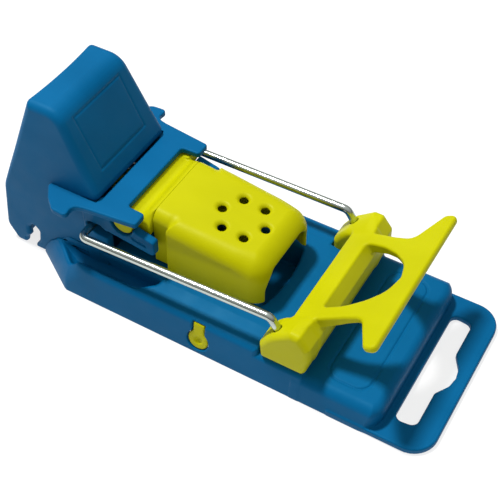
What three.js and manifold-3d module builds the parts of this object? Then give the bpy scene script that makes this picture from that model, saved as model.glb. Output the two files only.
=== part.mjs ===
// Snap mouse trap: a moulded base with a spring tower, a wire bail that carries the striker jaw,
// and a perforated bait cover that works as the trigger. Shown sprung, with the jaw down.
// Millimetres, +Z up, X runs from the tower at the back to the hang tab at the front,
// and the origin is at the middle of the footprint, on the floor.

import * as THREE from 'three';
import { mergeVertices } from 'three/addons/utils/BufferGeometryUtils.js';
import Module from 'manifold-3d';

const wasm = await Module();
wasm.setup();

// ---- Driving dimensions ----

const GAP = 0.3;                       // clearance between separate pieces
const WALL = 1.6;                      // moulded wall thickness

const BASE_HALF = 23;                  // half width of the footprint
const WALL_TOP_HALF = 21.4;            // half width at the top of the drafted side walls
const BASE_REAR_X = -49.3;             // where the rear chamfers meet the tower
const BASE_SHOULDER_X = -36.8;         // where the rear chamfers meet the long sides
const RIM_Z = 9.6;                     // top of the side walls
const DECK_Z = 10.6;                   // top of the deck between the rails
const DECK_HALF = 15.4;                // half width of the flat of the deck
const DECK_FRONT_X = 17.1;             // where the deck steps down to the jaw ledge, beside the lugs
const DECK_MIDDLE_FRONT_X = 22.1;      // the same behind the jaw bar, between the lugs
const LEDGE_Z = 8.0;                   // ledge that the jaw closes on
const LEDGE_FRONT_X = 28.7;
const PAD_REAR_X = 29.0;               // raised pad in front of the ledge
const PAD_FRONT_X = 47.9;
const PAD_Z = 7.4;
const CHANNEL_Z = 5.0;                 // floor of the side channels beside the tower
const CHANNEL_OUTER = 19.7;
const BEVEL = { startZ: 3.3, slope: 1.57, reach: 6 };   // height at the edge, rise per mm inward
const TAB_FRONT_X = 60.4;              // hang tab
const TAB_Z = 1.8;
const TAB_CORNER = 6.2;
const SLOT = { rear: 49.7, front: 54.9, half: 17.0, bumpHalf: 5.6, bumpDepth: 2.6 };

const TOWER_HALF = 15.3;               // half width of the tower at the floor
const TOWER_DRAFT = 0.036;             // how much each side leans in per mm of height
const TOWER_TOP_Z = 48.1;
const EAR_INNER = 12.7;                // inner faces of the two ears that hold the trigger

const PIVOT = { x: -31.8, z: 18.8 };   // axle of the bail
const WIRE_R = 1.0;
const AXLE_BEND_HALF = 19.5;           // where the bail leaves the axle
const BAIL_HALF = 18.8;                // half width of the bail at the jaw

const FRAME_Z = 25.0;                  // underside of the latch frame
const FRAME_TOP_Z = 26.6;
const FRAME_FRONT_X = -18.2;

const TRUNNION = { x: -23.1, z: 23.0, r: 2.7 };   // pivot of the trigger arm

const COVER = { rear: -16.9, skirt: -12.6, front: 13.3, bottomZ: 11.2, frontBottomZ: 12.0,
  halfNarrow: 11.2, halfRear: 12.8, halfFront: 12.2, wall: 1.4 };
const coverTopZ = (x) => 25.3 - 0.09 * x;   // the cover's top falls towards the front
const HOLE_RING = { x: 1.2, radius: 5.8, count: 6, r: 1.1 };

const WELL = { rear: -10.6, front: 12.0, bow: 1.6, half: 10.2, wall: 1.4, floorZ: 3.0 };
const CUP = { rear: -9.8, front: 4.6, half: 9.4, bottomZ: 0.7, topZ: 8.4, wall: 1.2 };
const LUG = { x: 1.6, z: 3.9, r: 2.7, stemHalf: 1.5, topZ: 8.9 };
const ARM_HALF = 1.3;                  // half width of the arms between the cup and its lugs
const ARM_Z = [2.2, 5.4];

const JAW_HALF = 21.8;
const JAW_LUG_INNER = 15.2;            // inner faces of the two wire lugs
const JAW_BOTTOM_Z = 8.3;
const HANDLE_START = { x: 22.5, z: 18.2 };
const HANDLE_SLOPE = Math.atan2(11.9, 23.0);
const HANDLE_THICK = 3.0;
const HANDLE_TIP_THICK = 2.1;          // the T is thinner than the two arms

const SPRING = { mean: 3.5, wire: 0.7, turns: 3.5, innerY: 4.8, leg: 9 };
const ANCHOR = { x: -39.4, z: 20.3, r: 1.0 };   // pin that the fixed legs of the springs bear on
const CAM = { half: 3.4, hubR: 3.2, noseR: 6.3, noseAngle: -40, noseWidth: 1.6 };
const ARM_TOP_Z = 24.6;                // top of the trigger arm, just under the latch frame
const TONGUE = { half: 7.5, z: [21.2, 22.5] };   // reaches under the cover, through its rear wall

// ---- Colours ----

const BLUE = 0x0f5fa8;
const YELLOW = 0xd8cf1c;
const STEEL = 0xc9ccc8;
const SPRING_STEEL = 0x8d9194;

const plastic = (color) => new THREE.MeshStandardMaterial({ color, roughness: 0.45, metalness: 0.0 });
const metal = (color) => new THREE.MeshStandardMaterial({ color, roughness: 0.25, metalness: 1.0 });

// ---- Solids ----

function toSolid(geometry) {
  const g = geometry.clone();
  g.deleteAttribute('normal');
  g.deleteAttribute('uv');
  const m = mergeVertices(g, 1e-4);
  return new wasm.Manifold(new wasm.Mesh({
    numProp: 3,
    vertProperties: new Float32Array(m.attributes.position.array),
    triVerts: new Uint32Array(m.index.array),
  }));
}

function toGeometry(solid) {
  const mesh = solid.getMesh();
  const g = new THREE.BufferGeometry();
  g.setAttribute('position', new THREE.BufferAttribute(new Float32Array(mesh.vertProperties), 3));
  g.setIndex(new THREE.BufferAttribute(new Uint32Array(mesh.triVerts), 1));
  g.computeVertexNormals();
  return g;
}

function union(solids) {
  return solids.reduce((a, b) => a.add(b));
}

function box(x0, x1, y0, y1, z0, z1) {
  const g = new THREE.BoxGeometry(x1 - x0, y1 - y0, z1 - z0);
  g.translate((x0 + x1) / 2, (y0 + y1) / 2, (z0 + z1) / 2);
  return toSolid(g);
}

// A box and its twin on the other side of the middle plane.
function boxPair(x0, x1, y0, y1, z0, z1) {
  return box(x0, x1, y0, y1, z0, z1).add(box(x0, x1, -y1, -y0, z0, z1));
}

function shapeOf(points) {
  return new THREE.Shape(points.map(([a, b]) => new THREE.Vector2(a, b)));
}

// A closed outline whose listed corners are rounded: each point is [a, b] or [a, b, radius].
function roundedShape(points, steps = 4) {
  const out = [];
  points.forEach(([a, b, r = 0], i) => {
    const p = new THREE.Vector2(a, b);
    if (r === 0) {
      out.push(p);
      return;
    }
    const prev = points[(i + points.length - 1) % points.length];
    const next = points[(i + 1) % points.length];
    const u = new THREE.Vector2(prev[0] - a, prev[1] - b).normalize();
    const v = new THREE.Vector2(next[0] - a, next[1] - b).normalize();
    const half = Math.acos(THREE.MathUtils.clamp(u.dot(v), -1, 1)) / 2;
    const reach = r / Math.tan(half);
    const centre = p.clone().add(u.clone().add(v).normalize().multiplyScalar(r / Math.sin(half)));
    const from = p.clone().add(u.multiplyScalar(reach)).sub(centre);
    const to = p.clone().add(v.multiplyScalar(reach)).sub(centre);
    const start = Math.atan2(from.y, from.x);
    let sweep = Math.atan2(to.y, to.x) - start;
    sweep -= Math.round(sweep / (2 * Math.PI)) * 2 * Math.PI;
    for (let k = 0; k <= steps; k += 1) {
      const t = start + (sweep * k) / steps;
      out.push(new THREE.Vector2(centre.x + r * Math.cos(t), centre.y + r * Math.sin(t)));
    }
  });
  return new THREE.Shape(out);
}

// Extrudes a shape and lays it out by the world directions of its own x, y and depth axes.
// A lean narrows it towards its top, as a mould's draft does: y shrinks by lean for each mm of height.
function extrude(shape, depth, [xDir, yDir, zDir], origin, lean = 0) {
  const g = new THREE.ExtrudeGeometry(shape, { depth, bevelEnabled: false, curveSegments: 10 });
  const basis = new THREE.Matrix4().makeBasis(xDir, yDir, zDir);
  basis.setPosition(origin);
  g.applyMatrix4(basis);
  const position = g.attributes.position;
  for (let i = 0; i < position.count; i += 1) {
    position.setY(i, position.getY(i) * (1 - lean * position.getZ(i)));
  }
  return toSolid(g);
}

const X = new THREE.Vector3(1, 0, 0);
const Y = new THREE.Vector3(0, 1, 0);
const Z = new THREE.Vector3(0, 0, 1);
const MINUS_Y = new THREE.Vector3(0, -1, 0);

// Slabs of a plan outline (x, y), a side outline (x, z) and a cross-section outline (y, z).
const planSlab = (shape, z0, z1, lean) => extrude(shape, z1 - z0, [X, Y, Z], new THREE.Vector3(0, 0, z0), lean);
const sideSlab = (shape, y0, y1, lean) =>
  extrude(shape, y1 - y0, [X, Z, MINUS_Y], new THREE.Vector3(0, y1, 0), lean);
const crossSlab = (shape, x0, x1) => extrude(shape, x1 - x0, [Y, Z, X], new THREE.Vector3(x0, 0, 0));
const sidePair = (shape, y0, y1) => sideSlab(shape, y0, y1).add(sideSlab(shape, -y1, -y0));

function cylinderY(x, z, r, y0, y1, sides = 20) {
  const g = new THREE.CylinderGeometry(r, r, y1 - y0, sides);
  g.translate(x, (y0 + y1) / 2, z);
  return toSolid(g);
}

const cylinderYPair = (x, z, r, y0, y1, sides) =>
  cylinderY(x, z, r, y0, y1, sides).add(cylinderY(x, z, r, -y1, -y0, sides));

function cylinderZ(x, y, r, z0, z1, sides = 20) {
  const g = new THREE.CylinderGeometry(r, r, z1 - z0, sides);
  g.rotateX(Math.PI / 2);
  g.translate(x, y, (z0 + z1) / 2);
  return toSolid(g);
}

// A round wire along a list of points whose corners are bent to a radius.
function wire(points, radius, bend, sides, stepLength) {
  const path = new THREE.CurvePath();
  let from = points[0].clone();
  for (let i = 1; i < points.length; i += 1) {
    const corner = points[i];
    if (i === points.length - 1) {
      path.add(new THREE.LineCurve3(from, corner.clone()));
      break;
    }
    const back = points[i - 1].clone().sub(corner).normalize().multiplyScalar(bend);
    const ahead = points[i + 1].clone().sub(corner).normalize().multiplyScalar(bend);
    const enter = corner.clone().add(back);
    const leave = corner.clone().add(ahead);
    path.add(new THREE.LineCurve3(from, enter));
    path.add(new THREE.QuadraticBezierCurve3(enter, corner.clone(), leave));
    from = leave;
  }
  return tube(path, radius, sides, Math.ceil(path.getLength() / stepLength));
}

function tube(path, radius, sides, steps) {
  const ring = Array.from({ length: sides }, (_, k) => {
    const t = (2 * Math.PI * k) / sides;
    return [radius * Math.cos(t), radius * Math.sin(t)];
  });
  const g = new THREE.ExtrudeGeometry(shapeOf(ring), { steps, bevelEnabled: false, extrudePath: path });
  return toSolid(g);
}

function named(name, solid, material) {
  const mesh = new THREE.Mesh(toGeometry(solid), material);
  mesh.name = name;
  return mesh;
}

// ---- Base tray: side walls, deck, jaw ledge, pad and hang tab, hollow underneath ----

function mirrored(points) {
  const other = points.map(([a, b, r]) => [a, -b, r]).reverse();
  return [...points, ...other];
}

function baseBody() {
  const plan = roundedShape(mirrored([
    [BASE_REAR_X, TOWER_HALF - 0.2],
    [BASE_SHOULDER_X, BASE_HALF, 2],
    [PAD_FRONT_X, BASE_HALF, 4.6],
  ]));
  const section = roundedShape([
    [-BASE_HALF, 0],
    [BASE_HALF, 0],
    [WALL_TOP_HALF, RIM_Z, 1.0],
    [DECK_HALF, DECK_Z, 1.5],
    [-DECK_HALF, DECK_Z, 1.5],
    [-WALL_TOP_HALF, RIM_Z, 1.0],
  ]);
  const lean = (BASE_HALF - WALL_TOP_HALF) / BASE_HALF / RIM_Z;
  const body = planSlab(plan, 0, DECK_Z + 1, lean).intersect(crossSlab(section, -60, 60));
  const steps = box(DECK_MIDDLE_FRONT_X, LEDGE_FRONT_X, -30, 30, LEDGE_Z, 20)
    .add(boxPair(DECK_FRONT_X, LEDGE_FRONT_X, JAW_LUG_INNER - GAP, 30, LEDGE_Z, 20))
    .add(box(LEDGE_FRONT_X - 1, 60, -30, 30, CHANNEL_Z, 20));
  return body.subtract(steps).add(pad());
}

function pad() {
  const plan = roundedShape(mirrored([
    [PAD_REAR_X, WALL_TOP_HALF + 0.6, 1.5],
    [PAD_FRONT_X, WALL_TOP_HALF + 0.6, 4.4],
  ]));
  const edge = 1.8;
  const section = roundedShape([
    [PAD_REAR_X - 2, 0],
    [PAD_FRONT_X + 2, 0],
    [PAD_FRONT_X - 0.2, PAD_Z, edge],
    [PAD_REAR_X + 0.2, PAD_Z, edge],
  ]);
  const cross = roundedShape([
    [-WALL_TOP_HALF - 0.8, 0],
    [WALL_TOP_HALF + 0.8, 0],
    [WALL_TOP_HALF + 0.3, PAD_Z, edge],
    [-WALL_TOP_HALF - 0.3, PAD_Z, edge],
  ]);
  const block = planSlab(plan, 2, PAD_Z + 1).intersect(sideSlab(section, -30, 30));
  return block.intersect(crossSlab(cross, PAD_REAR_X - 5, PAD_FRONT_X + 5));
}

function hangTab() {
  const rear = PAD_REAR_X + 5;
  const plan = roundedShape(mirrored([[rear, BASE_HALF], [TAB_FRONT_X, BASE_HALF, TAB_CORNER]]), 6);
  const s = SLOT;
  const hole = roundedShape(mirrored([
    [s.rear, s.half, 1.6],
    [s.front, s.half - 0.6, 1.6],
    [s.front, s.bumpHalf + 0.8, 1],
    [s.front + s.bumpDepth, s.bumpHalf - 2.8, 2],
  ]));
  return planSlab(plan, 0, TAB_Z).subtract(planSlab(hole, -1, TAB_Z + 1));
}

function sideChannels() {
  const plan = roundedShape([
    [-41.5, TOWER_HALF - 1],
    [-35.8, CHANNEL_OUTER, 2],
    [-16.5, CHANNEL_OUTER, 2],
    [-12.5, CHANNEL_OUTER - 2.5, 2],
    [-12.5, TOWER_HALF - 1],
  ]);
  const one = planSlab(plan, CHANNEL_Z, 20);
  const twinShape = roundedShape([
    [-12.5, 1 - TOWER_HALF],
    [-12.5, 2.5 - CHANNEL_OUTER, 2],
    [-16.5, -CHANNEL_OUTER, 2],
    [-35.8, -CHANNEL_OUTER, 2],
    [-41.5, 1 - TOWER_HALF],
  ]);
  return one.add(planSlab(twinShape, CHANNEL_Z, 20));
}

function underside() {
  const deckFloor = DECK_Z - WALL;
  const inner = WALL_TOP_HALF - WALL;
  const w = WELL;
  const wellHalf = w.half + w.wall;
  const wellBlock = box(w.rear - w.wall, w.front + w.bow + w.wall, -wellHalf, wellHalf, 0, DECK_Z);
  return union([
    box(-27, DECK_MIDDLE_FRONT_X - WALL, -DECK_HALF + 1.5, DECK_HALF - 1.5, -1, deckFloor),
    box(-10.5, DECK_FRONT_X - WALL, -inner, inner, -1, RIM_Z - WALL - 0.4),
    boxPair(-35, DECK_FRONT_X - WALL, TOWER_HALF + WALL, inner, -1, CHANNEL_Z - WALL),
    box(DECK_FRONT_X - WALL - 1, LEDGE_FRONT_X - WALL, -inner, inner, -1, LEDGE_Z - WALL),
    box(LEDGE_FRONT_X - WALL - 1, PAD_FRONT_X - WALL - 0.4, -inner, inner, -1, CHANNEL_Z - WALL),
    box(PAD_REAR_X + WALL, PAD_FRONT_X - WALL - 0.4, -inner, inner, -1, PAD_Z - WALL),
  ]).subtract(wellBlock);
}

// The well under the cover: a pocket at the front, open below at the back for the bait cup and its two arms.
function baitWell() {
  const w = WELL;
  const cupFront = CUP.front + GAP;
  const front = [];
  const steps = 6;
  for (let k = 0; k <= steps; k += 1) {
    const t = -1 + (2 * k) / steps;
    front.push([w.front + w.bow * (1 - t * t), w.half * t]);
  }
  return union([
    planSlab(shapeOf([[w.rear, -w.half], ...front, [w.rear, w.half]]), w.floorZ, DECK_Z + 5),
    box(w.rear, cupFront, -w.half, w.half, -1, DECK_Z),
    box(cupFront + w.wall, w.front, -w.half, w.half, -1, w.floorZ - w.wall),
    boxPair(LUG.x - ARM_HALF - GAP, LUG.x + ARM_HALF + GAP, w.half - 1, w.half + w.wall + 1, -1, ARM_Z[1] + GAP),
  ]);
}

// The keyhole outline of the bait cup's side lugs; grow widens it for the hole in the wall.
function lugShape(grow) {
  const r = LUG.r + grow;
  const half = LUG.stemHalf + grow;
  const start = Math.acos(half / r);
  const points = [];
  const steps = 14;
  for (let k = 0; k <= steps; k += 1) {
    const t = start - (k / steps) * (2 * start + Math.PI);
    points.push([LUG.x + r * Math.cos(t), LUG.z + r * Math.sin(t)]);
  }
  return shapeOf([...points.reverse(), [LUG.x + half, LUG.topZ + grow], [LUG.x - half, LUG.topZ + grow]]);
}

// The rear corners are bevelled: in from each slanting edge, the rim climbs at a steep slope.
function rearBevels() {
  const edge = new THREE.Vector2(BASE_SHOULDER_X - BASE_REAR_X, BASE_HALF - TOWER_HALF).normalize();
  const { startZ, slope, reach } = BEVEL;
  const heightAt = (inward) => startZ + slope * inward;
  const section = shapeOf([[-reach, heightAt(-reach)], [reach, heightAt(reach)], [-reach, heightAt(reach)]]);
  return [1, -1].map((side) => {
    const inward = new THREE.Vector3(edge.y, -side * edge.x, 0);
    const along = new THREE.Vector3().crossVectors(inward, Z);
    const corner = new THREE.Vector3(BASE_SHOULDER_X, side * BASE_HALF, 0);
    return extrude(section, 60, [inward, Z, along], corner.addScaledVector(along, -30));
  });
}

function baseTray() {
  const tower = box(-70, -27.6, -TOWER_HALF - GAP, TOWER_HALF + GAP, -1, 30);
  return baseBody()
    .add(hangTab())
    .subtract(union(rearBevels()))
    .subtract(sideChannels())
    .subtract(underside())
    .subtract(baitWell())
    .subtract(tower)
    .subtract(sidePair(lugShape(GAP), BASE_HALF - 4, BASE_HALF + 2));
}

// ---- Tower housing: hollow shell with two ears, hook notch and axle slots ----

function towerOutline() {
  return roundedShape([
    [-28.2, 0],
    [-52.5, 0, 0.5],
    [-50.7, 2.8, 1.5],
    [-50.2, 6.4, 1.2],
    [-51.8, 8.0, 1.0],
    [-53.4, 6.0, 1.0],
    [-53.4, 2.6, 0.8],
    [-55.0, 0, 1.0],
    [-57.7, 0, 1.5],
    [-60.5, 4.4, 3],
    [-59.0, 18.8, 6],
    [-48.1, TOWER_TOP_Z, 1.2],
    [-39.5, TOWER_TOP_Z, 3],
    [-30.2, 28.4, 1],
    [-30.2, 26.9, 0.6],
    [-30.8, 26.9],
    [-30.8, FRAME_Z - GAP],
    [-20.2, FRAME_Z - GAP, 0.5],
    [-20.2, 22.9],
    [-14.2, 21.4, 0.6],
    [-14.2, 17.6, 0.8],
    [-15.4, 16.9],
    [-28.2, 18.4],
  ]);
}

// The seat of the axle and the way into it, which slopes down to the front, under the root of the ear.
function axleSlot(r, halfOut) {
  const { x, z } = PIVOT;
  const way = shapeOf([
    [x, z - r],
    [x + 3.8, z - r - 1.7],
    [x + 5.8, z - r - 1.9],
    [x + 5.8, z - 0.7],
    [x + 3.8, z - 0.4],
    [x + 2.2, z + r],
    [x, z + r],
  ]);
  return cylinderY(x, z, r, -halfOut, halfOut).add(sideSlab(way, -halfOut, halfOut));
}

function towerHousing() {
  const lean = TOWER_DRAFT / TOWER_HALF;
  const inside = roundedShape([
    [-56.0, -1],
    [-58.7, 4.8, 2],
    [-57.3, 18.6, 5],
    [-46.6, TOWER_TOP_Z - WALL],
    [-40.5, TOWER_TOP_Z - WALL],
    [-31.9, 28.2],
    [-31.9, -1],
  ]);
  const t = TRUNNION;
  const seat = cylinderY(t.x, t.z, t.r + GAP, -20, 20).add(box(t.x - t.r - GAP, t.x + t.r + GAP, -20, 20, t.z, 26));
  return sideSlab(towerOutline(), -TOWER_HALF, TOWER_HALF, lean)
    .subtract(sideSlab(inside, WALL - TOWER_HALF, TOWER_HALF - WALL, lean))
    .subtract(box(-33, -10, -EAR_INNER, EAR_INNER, -1, 26.9))
    .subtract(axleSlot(WIRE_R + GAP, 20))
    .subtract(seat);
}

// ---- Latch frame: flat H over the ears, with the fins that stop the raised bail ----

function latchFrame() {
  const wallHalf = TOWER_HALF - TOWER_DRAFT * FRAME_Z + GAP;
  const side = [
    [-29.7, wallHalf, 1.2],
    [-43.8, wallHalf, 0.3],
    [-41.6, 18.4, 2],
    [-38.2, 21.2, 2],
    [-33.7, 21.3, 0.8],
    [-34.4, 17.5, 1.0],
    [-30.5, 17.2, 1.0],
    [FRAME_FRONT_X, 15.6, 0.9],
    [FRAME_FRONT_X - 0.3, 11.7, 0.9],
    [-23.1, 11.7, 0.6],
  ];
  const far = side.map(([x, y, r]) => [x, -y, r]).reverse();
  return planSlab(roundedShape([...side, ...far]), FRAME_Z, FRAME_TOP_Z);
}

// ---- Axle cradle: fills the foot of the tower, holds the axle down and carries the anchor pin ----

function axleCradle() {
  const half = EAR_INNER - GAP;
  const floor = box(-46, -29, -half, half, 0.4, 2.4);
  const posts = boxPair(-34.6, -29.0, 11.2, half, 2, 22.2);
  const pinPosts = boxPair(ANCHOR.x - 2, ANCHOR.x + 2, 11.2, half, 2, 22.2);
  const anchorHole = cylinderY(ANCHOR.x, ANCHOR.z, ANCHOR.r + GAP, -20, 20, 12);
  const ribs = boxPair(ANCHOR.x, -34, 11.2, half, 2, 8);
  return union([floor, posts, pinPosts, ribs]).subtract(axleSlot(WIRE_R + GAP, 20)).subtract(anchorHole);
}

// ---- Anchor pin: the fixed legs of both springs bear on it ----

function springAnchorPin() {
  return cylinderY(ANCHOR.x, ANCHOR.z, ANCHOR.r, GAP - EAR_INNER, EAR_INNER - GAP, 12);
}

// ---- Bait cup, snapped in from below by a keyhole lug on each side ----

function baitCup() {
  const c = CUP;
  const shell = planSlab(roundedShape(mirrored([[c.rear, c.half, 2.5], [c.front, c.half, 2.5]])), c.bottomZ, c.topZ);
  const hollow = planSlab(
    roundedShape(mirrored([[c.rear + c.wall, c.half - c.wall, 1.5], [c.front - c.wall, c.half - c.wall, 1.5]])),
    c.bottomZ + c.wall,
    c.topZ + 1,
  );
  const arms = boxPair(LUG.x - ARM_HALF, LUG.x + ARM_HALF, c.half - c.wall, 20, ...ARM_Z);
  return shell.add(arms).subtract(hollow).add(sidePair(lugShape(0), 19.6, 22.1));
}

// ---- Bail wire: one wire, bent as a U, whose middle is the axle ----

const JAW_SOCKET = [new THREE.Vector3(18.9, 0, 20.2), new THREE.Vector3(23.4, 0, 13.6)];

function bailWire() {
  const [corner, end] = JAW_SOCKET;
  const at = (p, y) => new THREE.Vector3(p.x, y, p.z);
  const points = [
    at(end, -BAIL_HALF),
    at(corner, -BAIL_HALF),
    new THREE.Vector3(PIVOT.x, -AXLE_BEND_HALF, PIVOT.z),
    new THREE.Vector3(PIVOT.x, AXLE_BEND_HALF, PIVOT.z),
    at(corner, BAIL_HALF),
    at(end, BAIL_HALF),
  ];
  return wire(points, WIRE_R, 2.4, 10, 1.6);
}

// ---- Striker jaw with its T handle ----

function socket(y) {
  const [corner, end] = JAW_SOCKET;
  const along = end.clone().sub(corner).normalize();
  const from = new THREE.Vector3(corner.x, y, corner.z).addScaledVector(along, 1.5);
  const to = new THREE.Vector3(end.x, y, end.z).addScaledVector(along, GAP);
  return tube(new THREE.LineCurve3(from, to), WIRE_R + GAP, 12, 1);
}

function handlePlate() {
  const edge = [
    [2.0, 15.5],
    [7.5, 14.5],
    [12.5, 13.6],
    [17.0, 13.2, 2],
    [21.6, 21.6, 1.4],
    [24.5, 21.6, 1.2],
  ];
  const opening = [
    [5.4, 11.0, 2.2],
    [11.0, 9.8],
    [15.3, 7.6],
    [18.1, 5.3],
    [19.5, 3.1],
    [20.1, 1.0],
  ];
  const c = Math.cos(HANDLE_SLOPE);
  const s = Math.sin(HANDLE_SLOPE);
  const axes = [new THREE.Vector3(c, 0, s), Y, new THREE.Vector3(-s, 0, c)];
  const slab = (points, above, below) => {
    const deep = HANDLE_THICK + below;
    const origin = new THREE.Vector3(HANDLE_START.x + deep * s, 0, HANDLE_START.z - deep * c);
    return extrude(roundedShape(mirrored(points)), deep + above, axes, origin);
  };
  const underTip = [[11.5, BASE_HALF], [30, BASE_HALF]];
  return slab(edge, 0, 0).subtract(slab(opening, 1, 1)).subtract(slab(underTip, -HANDLE_TIP_THICK, 1));
}

function strikerJaw() {
  const front = [[27.4, 20.7, 0.6], [30.0, 17.4, 0.8], [30.1, 14], [28.9, JAW_BOTTOM_Z, 0.8]];
  const bar = roundedShape([[22.4, JAW_BOTTOM_Z], [22.4, 18.2, 0.5], ...front]);
  const end = roundedShape([
    [17.8, JAW_BOTTOM_Z, 0.8],
    [17.4, 12.7, 0.8],
    [19.9, 16.6, 1],
    [24.9, 20.7, 0.8],
    ...front,
  ]);
  return sideSlab(bar, -JAW_LUG_INNER - 1, JAW_LUG_INNER + 1)
    .add(sidePair(end, JAW_LUG_INNER, JAW_HALF))
    .add(handlePlate())
    .subtract(socket(BAIL_HALF))
    .subtract(socket(-BAIL_HALF));
}

// ---- Catch cam on the axle ----

function catchCam() {
  const c = CAM;
  const angle = THREE.MathUtils.degToRad(c.noseAngle);
  const along = new THREE.Vector2(Math.cos(angle), Math.sin(angle));
  const across = new THREE.Vector2(-along.y, along.x);
  const corner = (r, side) => [
    PIVOT.x + along.x * r + across.x * side,
    PIVOT.z + along.y * r + across.y * side,
  ];
  const half = c.noseWidth / 2;
  const nose = shapeOf([corner(0, -half), corner(c.noseR, -half), corner(c.noseR, half), corner(0, half)]);
  return cylinderY(PIVOT.x, PIVOT.z, c.hubR, -c.half, c.half)
    .add(sideSlab(nose, -c.half, c.half))
    .subtract(cylinderY(PIVOT.x, PIVOT.z, WIRE_R + GAP, -5, 5));
}

// ---- Torsion springs, wound round the axle between the cam and the cradle posts ----
// A straight leg comes from the anchor pin to the top of the coil, and the coil ends beside the cam.

class SpringPath extends THREE.Curve {
  constructor(side) {
    super();
    this.side = side;
    this.arc = 2 * Math.PI * SPRING.mean * SPRING.turns;
  }

  getPoint(t, target = new THREE.Vector3()) {
    const s = t * (this.arc + SPRING.leg) - SPRING.leg;
    const pitch = 2 * SPRING.wire + 0.12;
    const turn = Math.max(s / this.arc, 0) * SPRING.turns;
    const angle = Math.PI / 2 - 2 * Math.PI * turn;
    const y = this.side * (SPRING.innerY + pitch * (SPRING.turns - turn));
    const x = PIVOT.x + SPRING.mean * Math.cos(angle) + Math.min(s, 0);
    return target.set(x, y, PIVOT.z + SPRING.mean * Math.sin(angle));
  }
}

function torsionSpring(side) {
  return tube(new SpringPath(side), SPRING.wire, 6, Math.round(SPRING.turns * 14 + 6));
}

// ---- Trigger arm: turns on two trunnions; its rear lip catches the cam when the front is raised ----

function triggerArm() {
  const half = 11.3;
  const t = TRUNNION;
  const clear = CAM.noseR + GAP;
  const lip = [];
  const steps = 4;
  for (let k = 0; k <= steps; k += 1) {
    const angle = THREE.MathUtils.degToRad(49 - (29 * k) / steps);
    lip.push([PIVOT.x + clear * Math.cos(angle), PIVOT.z + clear * Math.sin(angle)]);
  }
  const body = roundedShape([
    [-27.0, ARM_TOP_Z],
    ...lip,
    [-24.6, 20.4],
    [-17.2, 20.4, 1],
    [-17.2, 26.4],
    [-18.6, 25.0],
    [-21.0, 23.8],
    [-24.0, ARM_TOP_Z],
  ]);
  const tongue = box(-18, -5, -TONGUE.half, TONGUE.half, ...TONGUE.z);
  const trunnions = cylinderYPair(t.x, t.z, t.r, half - 1, 14.2);
  return sideSlab(body, -half, half).add(tongue).add(trunnions).subtract(box(-30, -20, -20, 20, ARM_TOP_Z, 30));
}

// ---- Bait cover ----

function coverOutside(inset) {
  const c = COVER;
  const rear = c.rear + inset;
  const front = c.front - inset;
  const low = inset * 2;
  const plan = roundedShape(mirrored([
    [rear, c.halfNarrow - inset],
    [c.skirt + inset, c.halfNarrow - inset],
    [c.skirt + inset, c.halfRear - inset],
    [front, c.halfFront - inset, 4],
  ]));
  const side = roundedShape([
    [rear, c.bottomZ - low],
    [c.skirt, c.bottomZ - low],
    [front, c.frontBottomZ - low],
    [front, 15],
    [front, coverTopZ(front) - inset, 5],
    [rear, coverTopZ(rear) - inset],
  ]);
  const cross = roundedShape([
    [-c.halfRear + inset, c.bottomZ - low],
    [c.halfRear - inset, c.bottomZ - low],
    [c.halfRear - inset, coverTopZ(rear) - inset, 3.4],
    [-c.halfRear + inset, coverTopZ(rear) - inset, 3.4],
  ]);
  return planSlab(plan, c.bottomZ - low, coverTopZ(rear))
    .intersect(sideSlab(side, -20, 20))
    .intersect(crossSlab(cross, -30, 30));
}

function baitCover() {
  const c = COVER;
  const arch = roundedShape([[-9.8, 5], [9.8, 5], [9.0, 20.2, 4], [-9.0, 20.2, 4]]);
  const holes = Array.from({ length: HOLE_RING.count }, (_, k) => {
    const t = (2 * Math.PI * k) / HOLE_RING.count;
    const x = HOLE_RING.x + HOLE_RING.radius * Math.cos(t);
    return cylinderZ(x, HOLE_RING.radius * Math.sin(t), HOLE_RING.r, 20, 28, 12);
  });
  const mouthHalf = TONGUE.half + GAP;
  const mouth = box(c.rear - 1, c.rear + c.wall + 0.2, -mouthHalf, mouthHalf, 0, TONGUE.z[1] + GAP);
  return coverOutside(0)
    .subtract(coverOutside(c.wall))
    .subtract(crossSlab(arch, 6, 20))
    .subtract(mouth)
    .subtract(union(holes));
}

// ---- Assembly ----

const trap = new THREE.Group();

const housing = new THREE.Group();
housing.add(named('base_tray', baseTray(), plastic(BLUE)));
housing.add(named('tower_housing', towerHousing(), plastic(BLUE)));
housing.add(named('latch_frame', latchFrame(), plastic(BLUE)));
housing.add(named('axle_cradle', axleCradle(), plastic(BLUE)));
housing.add(named('spring_anchor_pin', springAnchorPin(), metal(STEEL)));
housing.add(named('bait_cup', baitCup(), plastic(YELLOW)));
housing.add(named('torsion_spring_left', torsionSpring(1), metal(SPRING_STEEL)));
housing.add(named('torsion_spring_right', torsionSpring(-1), metal(SPRING_STEEL)));
trap.add(housing);

const striker = new THREE.Group();
striker.add(named('bail_wire', bailWire(), metal(STEEL)));
striker.add(named('striker_jaw', strikerJaw(), plastic(YELLOW)));
striker.add(named('catch_cam', catchCam(), plastic(YELLOW)));
trap.add(striker);

const trigger = new THREE.Group();
trigger.add(named('trigger_arm', triggerArm(), plastic(YELLOW)));
trigger.add(named('bait_cover', baitCover(), plastic(YELLOW)));
trap.add(trigger);

export default trap;
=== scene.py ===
"""Snap mouse trap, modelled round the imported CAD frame.

Every moulded piece is a distance field: outlines of the part are combined with rounded cuts and
joins, and the surface is then meshed and pulled exactly onto the field. Lengths inside the fields
are millimetres, and meshes are written in metres.
"""

import math

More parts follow.
